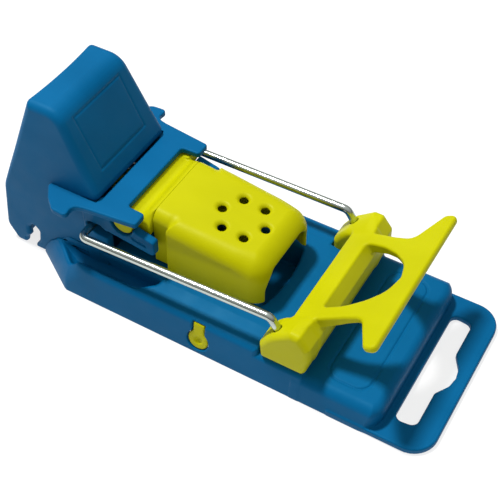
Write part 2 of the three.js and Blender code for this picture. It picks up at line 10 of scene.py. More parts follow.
import bpy
import numpy as np
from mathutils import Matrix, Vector


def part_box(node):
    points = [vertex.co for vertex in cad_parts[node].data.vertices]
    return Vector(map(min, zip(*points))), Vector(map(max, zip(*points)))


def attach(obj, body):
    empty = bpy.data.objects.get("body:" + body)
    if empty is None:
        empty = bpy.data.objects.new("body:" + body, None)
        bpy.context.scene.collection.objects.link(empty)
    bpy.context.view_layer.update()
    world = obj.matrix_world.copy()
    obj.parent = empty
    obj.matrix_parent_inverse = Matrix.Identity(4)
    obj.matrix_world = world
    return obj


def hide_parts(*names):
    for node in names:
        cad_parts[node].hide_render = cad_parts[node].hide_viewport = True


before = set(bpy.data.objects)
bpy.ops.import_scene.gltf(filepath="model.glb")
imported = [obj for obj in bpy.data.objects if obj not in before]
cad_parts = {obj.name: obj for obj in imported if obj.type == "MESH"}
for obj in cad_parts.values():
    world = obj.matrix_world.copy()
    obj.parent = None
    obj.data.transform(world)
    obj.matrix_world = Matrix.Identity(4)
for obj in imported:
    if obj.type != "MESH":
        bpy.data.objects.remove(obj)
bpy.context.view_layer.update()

MM = 0.001

# ---------------------------------------------------------------- driving dimensions, mm

SKIN = 1.6                          # wall thickness of the blue mouldings

# base: half widths, heights, and places along x
BASE_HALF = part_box("base_tray")[1][1] / MM
BASE_FRONT_X = 60.4
WALL_DRAFT = 0.165                  # how far a side wall leans in per mm of height
DECK_Z = 10.6
DECK_HALF = 15.4
BANK_FALL = 0.17                    # how the deck falls outside DECK_HALF, per mm
DECK_FRONT_X = (17.1, 22.1)         # beside the jaw's lugs, and behind its bar
LEDGE_Z = 8.0
LEDGE_FRONT_X = 28.7
PAD_FRONT_X = 47.9
PAD_Z = 7.4
TAB_Z = 1.8
WELL_Z = 3.0
WELL_REAR_X = -10.6
REAR_EDGE = ((-49.3, 15.1), (-36.8, 23))    # the slanting rear corner of the plan, as (x, half width)
BEVEL = (4.2, 0.56, 1.57)           # rim height, how far in the slope starts, and the slope
CEILINGS = (8.3, 6.2, 5.0, 3.2)     # inside the base, under the deck, ledge, pad and side channels
RIBS_X = (-20.0, 23.0, 38.5)
RIB_HALF = 0.6
KEYHOLE = (1.6, 3.9, 2.7)           # x and z of the bait cup's side lugs, and their radius
KEYHOLE_STEM = (1.5, 8.9)           # half width and top of the lug's stem

# tower
TOWER_HALF = 15.3
TOWER_FRONT_X = -27.9
TOWER_BEND = (26.7, 14.3)           # height where the side walls bend in, and their half width there
TOWER_LEAN = (0.0375, 0.0654)       # how far the side walls lean in per mm, below and above the bend
EAR = (12.7, 14.85)                 # inner and outer face of the ears
PIVOT = (-31.8, 18.8)               # the bail's axle, in x and z
AXLE_HOLE_R = 1.35
TRUNNION = (-23.1, 23.0, 2.7)       # x, z and radius
TRUNNION_SEAT_R = 3.05
PANEL = (-30.3, 28.6, 0.47)         # x and z at the foot of the sloping panel, and its lean in x per mm
FRAME_Z = (25.0, 26.6)
ANCHOR = (-39.4, 20.3, 1.0)         # x, z and radius of the pin for the springs' fixed legs

# trigger
COVER_TOP = (25.3, -0.09)           # height of the cover's top at x = 0, and how it falls with x
COVER_REAR_X = -16.9
COVER_WALL = 1.5
HOLE_RING = (1.2, 5.8, 6, 0.95)     # centre x, ring radius, count, hole radius
ARM_HALF = 12.3
CREST = (9.4, 26.7)                 # half width and height of the arm's crest, where its ends slope down

# striker
WIRE_R = 1.0
SPRING_R = 0.7
WIRE_HALF = 18.8                    # from the middle plane to the wire's long sides
WIRE_END = ((18.9, 20.2), (23.6, 13.3))     # the bend above a lug, and the bottom of its hole, in x and z
JAW_HALF = 21.8
LUG_INNER = 14.4
BAR_HALF = 16.5
HANDLE_START = (22.5, 18.2)
HANDLE_SLOPE = math.atan2(11.9, 23.0)
HANDLE_THICK = (3.2, 2.0)           # at the jaw and at the T

BEYOND = 30                         # past every piece, for outlines that run on over the middle plane

# ---------------------------------------------------------------- distance fields


def arc_points(points, steps=7):
    """An outline whose listed corners are rounded: each point is (a, b) or (a, b, radius)."""
    out = []
    for i, point in enumerate(points):
        p = np.array(point[:2], float)
        if len(point) == 2:
            out.append(p)
            continue
        r = point[2]
        u = np.array(points[i - 1][:2], float) - p
        v = np.array(points[(i + 1) % len(points)][:2], float) - p
        u /= np.linalg.norm(u)
        v /= np.linalg.norm(v)
        half = math.acos(np.clip(u @ v, -1, 1)) / 2
        middle = (u + v) / np.linalg.norm(u + v)
        centre = p + middle * r / math.sin(half)
        first = p + u * r / math.tan(half) - centre
        last = p + v * r / math.tan(half) - centre
        start = math.atan2(first[1], first[0])
        sweep = math.atan2(last[1], last[0]) - start
        sweep -= round(sweep / math.tau) * math.tau
        for k in range(steps + 1):
            t = start + sweep * k / steps
            out.append(centre + r * np.array([math.cos(t), math.sin(t)]))
    return np.array(out)


def outline(points, steps=7):
    """The signed distance to a closed outline, negative inside, as a function of two coordinates."""
    starts = arc_points(points, steps)
    ends = np.roll(starts, -1, axis=0)

    def distance(a, b):
        a, b = np.broadcast_arrays(a, b)
        nearest = np.full(a.shape, 1e9)
        sign = np.ones(a.shape)
        for (px, py), (qx, qy) in zip(starts, ends):
            ex, ey = qx - px, qy - py
            wx, wy = a - px, b - py
            t = np.clip((wx * ex + wy * ey) / (ex * ex + ey * ey + 1e-12), 0, 1)
            nearest = np.minimum(nearest, (wx - ex * t) ** 2 + (wy - ey * t) ** 2)
            above, below, left = b >= py, b < qy, ex * wy > ey * wx
            crosses = (above & below & left) | ~(above | below | left)
            sign = np.where(crosses, -sign, sign)
        return sign * np.sqrt(nearest)

    return distance


def meet(a, b, r=0.0):
    """What is inside both, with their edge rounded to radius r."""
    if np.max(r) == 0:
        return np.maximum(a, b)
    return np.minimum(-r, np.maximum(a, b)) + np.hypot(np.maximum(a + r, 0), np.maximum(b + r, 0))


def join(a, b, r=0.0):
    """What is inside either, with their inner corner filled to radius r."""
    return -meet(-a, -b, r)


def cut(a, b, r=0.0):
    """What is inside a and not inside b, with the cut's edge rounded to radius r."""
    return meet(a, -b, r)


def between(v, low, high):
    """The distance to a slab from low to high."""
    return np.maximum(low - v, v - high)


def block(x, y, z, low, high, r):
    """A box from low to high with its edges rounded to radius r."""
    d = meet(between(x, low[0], high[0]), between(y, low[1], high[1]), r)
    return meet(d, between(z, low[2], high[2]), r)


def groove(line, depth, width):
    """What a fine engraved line adds to a field, from the distance to the line."""
    return depth * np.exp(-((line / width) ** 2))


def disc(a, b, centre, radius):
    """The distance to a circle in the two given coordinates."""
    return np.hypot(a - centre[0], b - centre[1]) - radius


def ease(v, start, end):
    """0 before start and 1 after end, with a smooth rise between them."""
    t = np.clip((v - start) / (end - start), 0, 1)
    return t * t * (3 - 2 * t)


# ---------------------------------------------------------------- meshing


def surface_net(field, low, high, cell):
    """The mesh of field = 0: one vertex in each grid cell that the surface passes through."""
    margin = 1.6 * cell
    axes = [np.arange(a - margin, b + margin + cell, cell) for a, b in zip(low, high)]
    x, y, z = np.ix_(*axes)
    d = np.broadcast_to(field(x, y, z), tuple(len(a) for a in axes)).astype(np.float32)
    inside = d < 0
    ends = (slice(None, -1), slice(1, None))
    corners = [inside[i, j, k] for i in ends for j in ends for k in ends]
    mixed = np.any(corners, axis=0) & ~np.all(corners, axis=0)
    number = np.full(mixed.shape, -1, np.int64)
    number[mixed] = np.arange(int(mixed.sum()))
    cells = np.argwhere(mixed)
    total = np.zeros((len(cells), 3))
    hits = np.zeros(len(cells))
    for axis in range(3):
        u, v = (axis + 1) % 3, (axis + 2) % 3
        for du in (0, 1):
            for dv in (0, 1):
                a = cells.copy()
                a[:, u] += du
                a[:, v] += dv
                b = a.copy()
                b[:, axis] += 1
                da, db = d[tuple(a.T)], d[tuple(b.T)]
                crossed = (da < 0) != (db < 0)
                p = a[crossed].astype(float)
                p[:, axis] += da[crossed] / (da[crossed] - db[crossed])
                total[crossed] += p
                hits[crossed] += 1
    start = np.array([a[0] for a in axes])
    points = start + total / hits[:, None] * cell
    quads = []
    for axis in range(3):
        u, v = (axis + 1) % 3, (axis + 2) % 3
        first = [slice(1, -1)] * 3
        first[axis] = slice(None, -1)
        second = list(first)
        second[axis] = slice(1, None)
        lower, upper = inside[tuple(first)], inside[tuple(second)]
        for out, flip in ((lower & ~upper, False), (upper & ~lower, True)):
            at = np.argwhere(out)
            at[:, u] += 1
            at[:, v] += 1
            ring = []
            for du, dv in ((-1, -1), (0, -1), (0, 0), (-1, 0)):
                c = at.copy()
                c[:, u] += du
                c[:, v] += dv
                ring.append(number[tuple(c.T)])
            quad = np.stack(ring[::-1] if flip else ring, axis=1)
            quads.append(quad)
    return points, np.concatenate(quads)


def slope(field, p, h=0.02):
    """The field's value and its gradient at an array of points."""
    x, y, z = p.T
    value = field(x, y, z)
    grad = np.stack([
        field(x + h, y, z) - field(x - h, y, z),
        field(x, y + h, z) - field(x, y - h, z),
        field(x, y, z + h) - field(x, y, z - h),
    ], axis=1) / (2 * h)
    return value, grad


def pull(field, p, reach):
    """Points moved along the field's gradient onto its surface, by no more than reach."""
    value, grad = slope(field, p)
    step = value / np.maximum((grad ** 2).sum(axis=1), 0.2)
    step = np.clip(step, -reach, reach)
    return p - grad * step[:, None]


def mesh_object(name, points, faces):
    """A new object from points in mm."""
    mesh = bpy.data.meshes.new(name)
    mesh.from_pydata((points * MM).tolist(), [], faces.tolist())
    mesh.update()
    obj = bpy.data.objects.new(name, mesh)
    bpy.context.scene.collection.objects.link(obj)
    return obj


def thinned(obj, ratio):
    """The object with its flat stretches in fewer faces."""
    thin = obj.modifiers.new("thin", "DECIMATE")
    thin.ratio = ratio
    shown = obj.evaluated_get(bpy.context.evaluated_depsgraph_get())
    mesh = bpy.data.meshes.new_from_object(shown)
    obj.modifiers.clear()
    obj.data = mesh
    return obj


def moulded(name, field, node, cell, body, slot, box):
    """A moulded piece: the field's surface, standing for a CAD node and riding on its body."""
    coarse = cell * 1.0
    points, quads = surface_net(field, *box, coarse)
    points = pull(field, points, coarse)
    obj = thinned(mesh_object(name, points, quads), 0.35)
    mesh = obj.data
    count = len(mesh.vertices)
    flat = np.empty(count * 3, np.float32)
    mesh.vertices.foreach_get("co", flat)
    p = flat.reshape(-1, 3) / MM
    p = pull(field, p.astype(float), coarse * 0.5)
    mesh.vertices.foreach_set("co", (p * MM).astype(np.float32).ravel())
    normal = slope(field, p, 0.06)[1]
    normal /= np.maximum(np.linalg.norm(normal, axis=1), 1e-6)[:, None]
    mesh.shade_smooth()
    mesh.normals_split_custom_set_from_vertices(normal.tolist())
    mesh.update()
    mesh.materials.append(LOOKS[slot])
    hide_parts(node)
    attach(obj, body)


def box_of(node, low=(0, 0, 0), high=(0, 0, 0)):
    """The CAD box of a node in mm, grown by the given amounts."""
    a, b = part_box(node)
    return (
        [v / MM + g for v, g in zip(a, low)],
        [v / MM + g for v, g in zip(b, high)],
    )


# ---------------------------------------------------------------- blue mouldings

# plans are outlines in x and half width w, and side views are outlines in x and z

base_plan = outline([
    (-60, -BEYOND), (-60, 8.3), REAR_EDGE[0], (*REAR_EDGE[1], 2.2),
    (BASE_FRONT_X, BASE_HALF), (BASE_FRONT_X, -BEYOND),
], 10)
tab_plan = outline([
    (36, -BEYOND), (36, BASE_HALF), (BASE_FRONT_X, BASE_HALF, 6.2), (BASE_FRONT_X, -BEYOND),
], 12)
slot_plan = outline([
    (49.7, -BEYOND), (49.7, 17.1, 1.8), (54.9, 16.5, 1.8), (54.9, 6.3, 1.2), (57.0, 2.9, 1.8),
    (57.5, 0, 2.0), (57.5, -BEYOND),
])
pad_plan = outline([
    (26.4, -BEYOND), (26.4, BASE_HALF), (PAD_FRONT_X, BASE_HALF, 4.8), (PAD_FRONT_X, -BEYOND),
], 12)
pad_line_plan = outline([(32.6, -BEYOND), (32.6, 17.9, 3.2), (42.9, 17.9, 3.2), (42.9, -BEYOND)], 10)
channel_plan = outline([
    (-43.5, 12), (-43.5, 14.4), (-36.0, 19.7, 3.0), (-17.0, 19.7, 3.2), (-12.8, 16.4, 1.8), (-12.8, 12),
], 10)
well_plan = outline([
    (WELL_REAR_X, -BEYOND), (WELL_REAR_X, 10.2, 1.5), (11.9, 10.4, 1.2), (12.9, 6.0, 8),
    (13.5, 0, 10), (13.5, -BEYOND),
], 10)


def tower_wall(w, z):
    """The distance out from the tower's side walls, which lean in and lean further above a bend."""
    bend_z, bend_half = TOWER_BEND
    below, above = TOWER_LEAN
    return np.maximum(w - (TOWER_HALF - below * z), w - (bend_half - above * (z - bend_z)))


def keyhole(x, z, grow):
    """The outline of the bait cup's side lugs: a disc with a stem above it."""
    centre_x, centre_z, radius = KEYHOLE
    half, top = KEYHOLE_STEM
    stem = np.maximum(np.abs(x - centre_x) - half - grow, between(z, centre_z, top + grow))
    return join(disc(x, z, KEYHOLE[:2], radius + grow), stem, 0.3)


def base_tray(x, y, z):
    w = np.abs(y)
    half = BASE_HALF - WALL_DRAFT * z
    sides = base_plan(x, w * BASE_HALF / half)
    bank = z - (DECK_Z - BANK_FALL * np.clip(w - DECK_HALF, 0, 9))
    beside, behind = DECK_FRONT_X
    step = np.minimum(behind - x, np.maximum(beside - x, 15.0 - w))
    top = cut(bank, np.maximum(step, LEDGE_Z - z), 0.5)
    d = meet(sides, meet(top, rear_bevel(x, w, z), 0.9), 1.25)
    d = meet(d, x - LEDGE_FRONT_X, 0.5)

    pad = meet(np.maximum(pad_plan(x, w), w - half), z - PAD_Z, 2.3)
    pad = pad + groove(pad_line_plan(x, w), 0.28, 0.28) * (z > PAD_Z - 1)
    d = join(d, pad, 0.3)

    channel = np.maximum(channel_plan(x, w), TOWER_HALF + 0.05 - w)
    channel_z = 5.0 + 1.5 * ease(-x, 35, 42)
    d = cut(d, meet(channel, channel_z - z, 2.0), 1.3)
    d = cut(d, meet(well_plan(x, w), WELL_Z - z, 0.6), 0.7)

    tab = meet(meet(tab_plan(x, w), z - TAB_Z, 0.45), -z, 0.3)
    d = join(d, cut(tab, slot_plan(x, w), 0.4), 0.6)
    d = meet(d, -z, 0.25)

    d = np.maximum(d, -base_hollow(x, w, z))
    d = np.maximum(d, -cup_passage(x, w, z))
    d = np.maximum(d, -np.maximum(tower_wall(w, z) - 0.02, x - TOWER_FRONT_X))
    d = cut(d, np.maximum(keyhole(x, z, 0.22), BASE_HALF - 4.0 - w), 0.25)
    mould_seam = np.maximum(np.abs(x - 10.2) - 0.02, half - 0.14 - w)
    d = np.maximum(d, -mould_seam)
    return np.maximum(np.maximum(d, w - BASE_HALF), -z)


def rear_bevel(x, w, z):
    """The bevel of the rear corners: in from the edge, the rim climbs at a steep slope."""
    (x0, w0), (x1, w1) = REAR_EDGE
    length = math.hypot(x1 - x0, w1 - w0)
    inward = ((w1 - w0) * (x - x1) + (x1 - x0) * (w1 - w)) / length
    rim_z, start, slope_up = BEVEL
    return (z - rim_z - slope_up * (inward - start)) / math.hypot(1, slope_up)


def base_hollow(x, w, z):
    """The open underside: pockets between cross ribs, under the deck, the ledge and the pad."""
    under_deck, under_ledge, under_pad, under_channel = CEILINGS
    ceiling = np.where(x < DECK_FRONT_X[0] - 1, under_deck, under_ledge)
    ceiling = np.where(x > LEDGE_FRONT_X - SKIN, under_pad, ceiling)
    ceiling = np.where((w > 14.2) & (x < -11), under_channel, ceiling)
    room = np.maximum(w - (21.3 - WALL_DRAFT * z), z - ceiling)
    room = np.maximum(room, between(x, -27.2, 46.2))
    around_well = meet(between(x, -12.2, 15.0), w - 11.9)
    room = np.maximum(room, -around_well)
    for rib in RIBS_X:
        room = np.maximum(room, RIB_HALF - np.abs(x - rib))
    return room


def cup_passage(x, w, z):
    """The hole in the well's floor that the bait cup comes up through, with slits for its arms."""
    cup_hole = meet(between(x, WELL_REAR_X, 4.9), w - 10.2)
    arm_hole = np.maximum(np.maximum(between(x, 0.0, 3.2), between(w, 9, 12.6)), z - 5.7)
    return np.maximum(np.minimum(cup_hole, arm_hole), z - 9)


# the outline starts at the front of the foot, runs back round the hook notch, and up over the top
tower_side = outline([
    (TOWER_FRONT_X, 0), (-52.5, 0, 0.5), (-50.6, 2.9, 1.6), (-50.1, 6.6, 1.3), (-51.7, 8.1, 0.9),
    (-53.4, 6.4, 1.2), (-53.3, 3.4, 0.7), (-54.6, 1.9, 1.4), (-55.0, 0, 0.6), (-57.7, 0, 1.5),
    (-60.6, 4.4, 3.4), (-59.0, 18.8, 9), (-48.1, 48.1, 1.0), (-39.2, 48.1, 5.2), (-30.0, 28.3, 0.5),
    (-30.0, 26.0, 1.6), (-33.5, 25.6), (TOWER_FRONT_X, 25.0),
], 10)
ear_side = outline([
    (-34, 0), (-34, 26), (-30.6, 26), (-30.6, 25.0), (-20.4, 25.0, 0.3), (-20.4, 22.9, 0.3),
    (-14.3, 21.3, 0.7), (-14.3, 17.4, 0.8), (-15.3, 16.9, 0.6), (TOWER_FRONT_X, 18.6, 0.5),
    (TOWER_FRONT_X, 0),
], 6)
axle_way = outline([
    (PIVOT[0], PIVOT[1] - AXLE_HOLE_R), (-28.0, 15.8), (-25.0, 15.4), (-25.0, 17.9), (-28.0, 18.4),
    (-29.6, PIVOT[1] + AXLE_HOLE_R, 0.5), (PIVOT[0], PIVOT[1] + AXLE_HOLE_R),
], 5)
ear_groove = outline([(-20.6, 20.6), (-16.9, 19.9), (-16.6, 18.9), (-20.3, 19.6)])
tower_core = outline([
    (-56.3, -3), (-56.9, 6, 4), (-57.2, 18.6, 7), (-46.6, 46.4, 0.6), (-40.4, 46.4, 2.4),
    (-31.8, 28.0), (-31.8, -3),
], 6)


def tower_housing(x, y, z):
    w = np.abs(y)
    back_bow = 0.7 * (1 - (y / 13.0) ** 2) * ease(z, 22, 46) * ease(-x, 41, 47)
    d = meet(tower_side(x - back_bow, z), tower_wall(w, z), 1.0 + 0.9 * ease(z, 16, 34))
    inner, outer = EAR
    ear_wall = np.maximum(inner - w, w - outer - 0.6 * ease(-x, 27.5, 31))
    d = join(d, meet(ear_side(x, z), ear_wall, 0.4), 0.3)
    core = np.maximum(tower_core(x, z), w - (TOWER_HALF - SKIN - 0.05 * z))
    d = np.maximum(d, -core)
    between_ears = np.maximum(np.maximum(between(x, -34, -10), w - inner), z - 25.6)
    d = np.maximum(d, -between_ears)
    d = cut(d, np.minimum(disc(x, z, PIVOT, AXLE_HOLE_R), axle_way(x, z)), 0.3)
    # a trunnion drops into its round seat from above
    seat = disc(x, z, TRUNNION, TRUNNION_SEAT_R)
    slit = np.maximum(np.abs(x - TRUNNION[0]) - TRUNNION_SEAT_R, TRUNNION[1] - z)
    d = cut(d, np.minimum(seat, slit), 0.25)
    d = cut(d, np.maximum(ear_groove(x, z), 14.5 - w), 0.2)
    return d + groove(panel_line(w, z), 0.17, 0.27) * on_panel(x, z)


def panel_line(w, z):
    """The distance to the engraved rectangle, measured along the sloping panel."""
    up = (z - PANEL[1]) * math.cos(math.atan(PANEL[2]))
    return np.maximum(w - 8.8, np.abs(up - 8.9) - 5.85)


def on_panel(x, z):
    """Whether a point is near the face of the sloping panel."""
    foot_x, foot_z, lean = PANEL
    depth = x - foot_x - (foot_z - z) * lean
    return (x > -42) & (z > 28) & (z < 47) & (depth > -0.9)


# the outline runs back along the leg to the fin that stops the bail, and forward round its outside
latch_plan = outline([
    (-29.8, -BEYOND), (-29.8, 12.4, 1.6), (-34.0, 13.7), (-43.4, 14.2, 0.5), (-43.3, 15.3, 0.8),
    (-40.9, 18.6, 2.5), (-38.0, 21.1, 2.4), (-33.8, 21.4, 1.0), (-34.4, 17.9, 1.6), (-31.5, 17.2, 2.0),
    (-18.2, 15.7, 0.9), (-18.3, 11.6, 0.9), (-23.1, 11.4, 0.8), (-23.1, -BEYOND),
], 8)


def latch_frame(x, y, z):
    w = np.abs(y)
    plate = meet(latch_plan(x, w), between(z, *FRAME_Z), 0.42)
    in_front_of_tower = x > -30.2
    return np.maximum(plate, -tower_wall(w, z) - BEYOND * in_front_of_tower)


# ---------------------------------------------------------------- yellow mouldings


def bait_cup(x, y, z):
    w = np.abs(y)
    shell = block(x, w, z, (-9.8, -20, 0.7), (4.6, 9.4, 8.4), 0.8)
    room = block(x, w, z, (-8.6, -20, 1.9), (3.4, 8.2, 12), 0.8)
    d = cut(shell, room, 0.3)
    arm = block(x, w, z, (0.3, 8.8, 2.2), (2.9, 20, 5.4), 0.4)
    d = join(d, arm, 0.4)
    past_face = w - (BASE_HALF - 0.25 - WALL_DRAFT * z)
    lug = meet(keyhole(x, z, 0), np.maximum(19.6 - w, past_face), 0.4)
    dimple = np.hypot(disc(x, z, KEYHOLE[:2], 0), past_face - 0.9) - 1.5
    return cut(join(d, lug, 0.2), dimple, 0.2)


# the plan runs on behind the cover, whose rear is then cut flat
cover_plan = outline([
    (-26, -BEYOND), (-26, 11.2), (-12.6, 11.2, 0.4), (-12.6, 12.8, 0.7), (13.3, 12.2, 4.4),
    (13.3, -BEYOND),
], 12)
# the mouth of the cover, seen from the front as half width and z
arch = outline([(-BEYOND, 0), (9.9, 0), (9.6, 16, 5), (8.0, 20.2, 3.5), (-BEYOND, 20.2)], 10)


def cover_body(x, w, z, inset):
    """The cover's outside, or with an inset its inside: a tapered box whose top falls to the front."""
    walls = cover_plan(x, w + 0.03 * (z - 12)) + inset
    height, fall = COVER_TOP
    top = (z - height - fall * x) / math.hypot(1, fall) + inset
    r = 2.7 + 0.8 * ease(x, -13.4, -11.4) + 0.6 * ease(x, -12, 6) + 1.4 * ease(x, 4, 12)
    d = meet(walls, top, np.maximum(r - inset, 0.3))
    return meet(d, COVER_REAR_X - x + inset, 0.3)


def bait_cover(x, y, z):
    w = np.abs(y)
    foot = 11.2 + 0.8 * ease(x, -8, 10) - z
    d = meet(cut(cover_body(x, w, z, 0), cover_body(x, w, z, COVER_WALL), 0.3), foot, 0.5)
    d = cut(d, np.maximum(arch(w, z), 8 - x), 0.75)
    arm_mouth = np.maximum(np.maximum(x + 15.2, w - 9.6), between(z, 5, 22.4))
    d = np.maximum(d, -arm_mouth)
    cx, ring, count, r = HOLE_RING
    for k in range(count):
        t = math.tau * k / count
        hole = disc(x, y, (cx + ring * math.cos(t), ring * math.sin(t)), r)
        d = cut(d, np.maximum(hole, 18 - z), 1.25)
    return d


# the outline starts at the lip that catches the cam, and goes under the arm to its crest
arm_side = outline([
    (-27.0, 24.6, 0.3), (-27.5, 23.8, 0.3), (-26.2, 22.0), (-25.5, 21.0), (-24.6, 20.4, 0.6),
    (-16.95, 20.4, 0.4), (-16.95, 26.66, 0.25), (-18.0, 26.3, 2.0), (-20.7, 23.4, 2.0),
    (-22.8, 24.9, 0.8), (-24.2, 24.9),
], 6)
arm_plan = outline([
    (-30, -BEYOND), (-30, 11.2), (-24.4, 11.2, 0.5), (-23.6, ARM_HALF, 0.5), (-10, ARM_HALF),
    (-10, -BEYOND),
], 6)


def trigger_arm(x, y, z):
    w = np.abs(y)
    d = meet(arm_side(x, z), arm_plan(x, w), 0.35)
    tilt = math.radians(52.3)
    end_slope = (w - CREST[0]) * math.sin(tilt) + (z - CREST[1]) * math.cos(tilt)
    d = meet(d, end_slope, 0.9)
    tongue = block(x, w, z, (-18, -20, 21.3), (-5, 7.5, 22.5), 0.4)
    d = join(d, tongue, 0.5)
    pin = meet(disc(x, z, TRUNNION, TRUNNION[2]), between(w, 10.8, 14.4), 0.35)
    pin = np.maximum(pin, z - (FRAME_Z[0] - 0.4))
    return join(d, pin, 0.5)


jaw_front = [(27.4, 20.8, 0.9), (30.0, 17.5, 0.9), (30.1, 14), (28.9, 8.3, 0.9)]
bar_side = outline([(22.4, 8.3), (22.4, 18.2, 0.9), *jaw_front], 8)
lug_side = outline([
    (17.8, 8.3, 0.9), (17.4, 12.7, 0.9), (19.0, 15.4, 0.8), (20.6, 17.3, 0.7), (24.9, 20.8, 0.9),
    *jaw_front,
], 8)
# the handle's plate, in distance up the slope and half width, from the jaw to the ends of the T
handle_plan = outline([
    (2.0, -BEYOND), (2.0, 15.5, 1), (7.5, 14.5, 6), (12.5, 13.6, 8), (17.0, 13.2, 2.6), (21.6, 21.6, 1.6),
    (24.6, 21.7, 1.3), (24.6, -BEYOND),
], 12)
handle_hole = outline([
    (3.6, -BEYOND), (3.6, 11.4, 3.2), (11.0, 9.9, 12), (15.3, 7.7, 10), (18.8, 4.6, 6), (20.2, 0.0, 8),
    (20.2, -BEYOND),
], 12)


def along_handle(x, z):
    """The distance up the handle's slope from its start, and the height over its top face."""
    c, s = math.cos(HANDLE_SLOPE), math.sin(HANDLE_SLOPE)
    dx, dz = x - HANDLE_START[0], z - HANDLE_START[1]
    return dx * c + dz * s, dz * c - dx * s


def wire_socket(x, w, z):
    """The hole that the end of the bail wire sits in."""
    (ax, az), (bx, bz) = WIRE_END
    length = math.hypot(bx - ax, bz - az)
    ux, uz = (bx - ax) / length, (bz - az) / length
    t = np.clip((x - ax) * ux + (z - az) * uz, -2, length)
    off_axis = disc(x, z, (ax + t * ux, az + t * uz), 0)
    return np.hypot(off_axis, w - WIRE_HALF) - WIRE_R - 0.12


def striker_jaw(x, y, z):
    w = np.abs(y)
    s, h = along_handle(x, z)
    at_jaw, at_tip = HANDLE_THICK
    thick = at_jaw + (at_tip - at_jaw) * ease(s, 5, 18)
    plate = meet(handle_plan(s, w), between(h, -thick, 0), 0.85)
    plate = cut(plate, handle_hole(s, w), 0.7)
    bar = meet(bar_side(x, z), w - BAR_HALF, 0.3)
    d = meet(join(bar, plate, 0.7), h, 0.2)
    lug = meet(lug_side(x, z), between(w, LUG_INNER, JAW_HALF), 1.5)
    # the tops of the lugs rise outwards from the bar
    rise = 0.34
    lug = meet(lug, (h - rise * (w - LUG_INNER)) / math.hypot(1, rise), 0.9)
    d = join(d, lug, 0.7)
    return cut(d, wire_socket(x, w, z), 0.3)


# ---------------------------------------------------------------- pieces inside the tower


def catch_cam(x, y, z):
    dx, dz = x - PIVOT[0], z - PIVOT[1]
    nose_angle = math.radians(-40)
    c, s = math.cos(nose_angle), math.sin(nose_angle)
    nose = meet(between(dx * c + dz * s, 0, 6.3), np.abs(dz * c - dx * s) - 0.8, 0.35)
    hub = disc(x, z, PIVOT, 3.2)
    d = meet(join(hub, nose, 0.8), np.abs(y) - 3.4, 0.35)
    return np.maximum(d, -disc(x, z, PIVOT, WIRE_R + 0.05))


def axle_cradle(x, y, z):
    w = np.abs(y)
    floor = block(x, w, z, (-46, -20, 0.4), (-29, 12.4, 2.4), 0.4)
    post = block(x, w, z, (-34.6, 11.2, 1), (-29, 12.4, 22.2), 0.4)
    pin_post = block(x, w, z, (-41.4, 11.2, 1), (-37.4, 12.4, 22.2), 0.4)
    rib = block(x, w, z, (-39.4, 11.2, 1), (-34, 12.4, 8), 0.4)
    d = join(join(join(floor, post, 0.5), pin_post, 0.5), rib, 0.5)
    d = cut(d, np.minimum(disc(x, z, PIVOT, AXLE_HOLE_R - 0.05), axle_way(x, z)), 0.2)
    return cut(d, disc(x, z, ANCHOR, ANCHOR[2] + 0.05), 0.2)


def anchor_pin(x, y, z):
    return meet(disc(x, z, ANCHOR, ANCHOR[2]), np.abs(y) - 12.4, 0.25)


# ---------------------------------------------------------------- materials


def nodes_of(name):
    """A new material, its node tree and its shader."""
    material = bpy.data.materials.new(name)
    material.use_nodes = True
    tree = material.node_tree
    shader = tree.nodes["Principled BSDF"]
    return material, tree, shader


def noise(tree, place, scale, detail, stretch=(1, 1, 1)):
    """Solid noise in the piece's own coordinates, stretched along the axes whose factor is small."""
    mapping = tree.nodes.new("ShaderNodeMapping")
    mapping.inputs["Scale"].default_value = stretch
    tree.links.new(place.outputs["Object"], mapping.inputs["Vector"])
    node = tree.nodes.new("ShaderNodeTexNoise")
    node.inputs["Scale"].default_value = scale
    node.inputs["Detail"].default_value = detail
    tree.links.new(mapping.outputs["Vector"], node.inputs["Vector"])
    return node.outputs["Fac"]


def ramp(tree, value, low, high, at=(0.35, 0.65)):
    """A colour that goes from low to high as the value crosses the two places."""
    node = tree.nodes.new("ShaderNodeValToRGB")
    node.color_ramp.elements[0].position, node.color_ramp.elements[1].position = at
    node.color_ramp.elements[0].color = (*low, 1)
    node.color_ramp.elements[1].color = (*high, 1)
    tree.links.new(value, node.inputs["Fac"])
    return node.outputs["Color"]


def to_range(tree, value, low, high):
    """A noise value spread over low to high."""
    node = tree.nodes.new("ShaderNodeMapRange")
    node.inputs["From Min"].default_value = 0.3
    node.inputs["From Max"].default_value = 0.7
    node.inputs["To Min"].default_value = low
    node.inputs["To Max"].default_value = high
    tree.links.new(value, node.inputs["Value"])
    return node.outputs["Result"]


def bump(tree, height, strength, distance, below=None):
    """A bumped normal, on top of another one if that is given, with the distance in metres."""
    node = tree.nodes.new("ShaderNodeBump")
    node.inputs["Strength"].default_value = strength
    node.inputs["Distance"].default_value = distance
    tree.links.new(height, node.inputs["Height"])
    if below is not None:
        tree.links.new(below, node.inputs["Normal"])
    return node.outputs["Normal"]


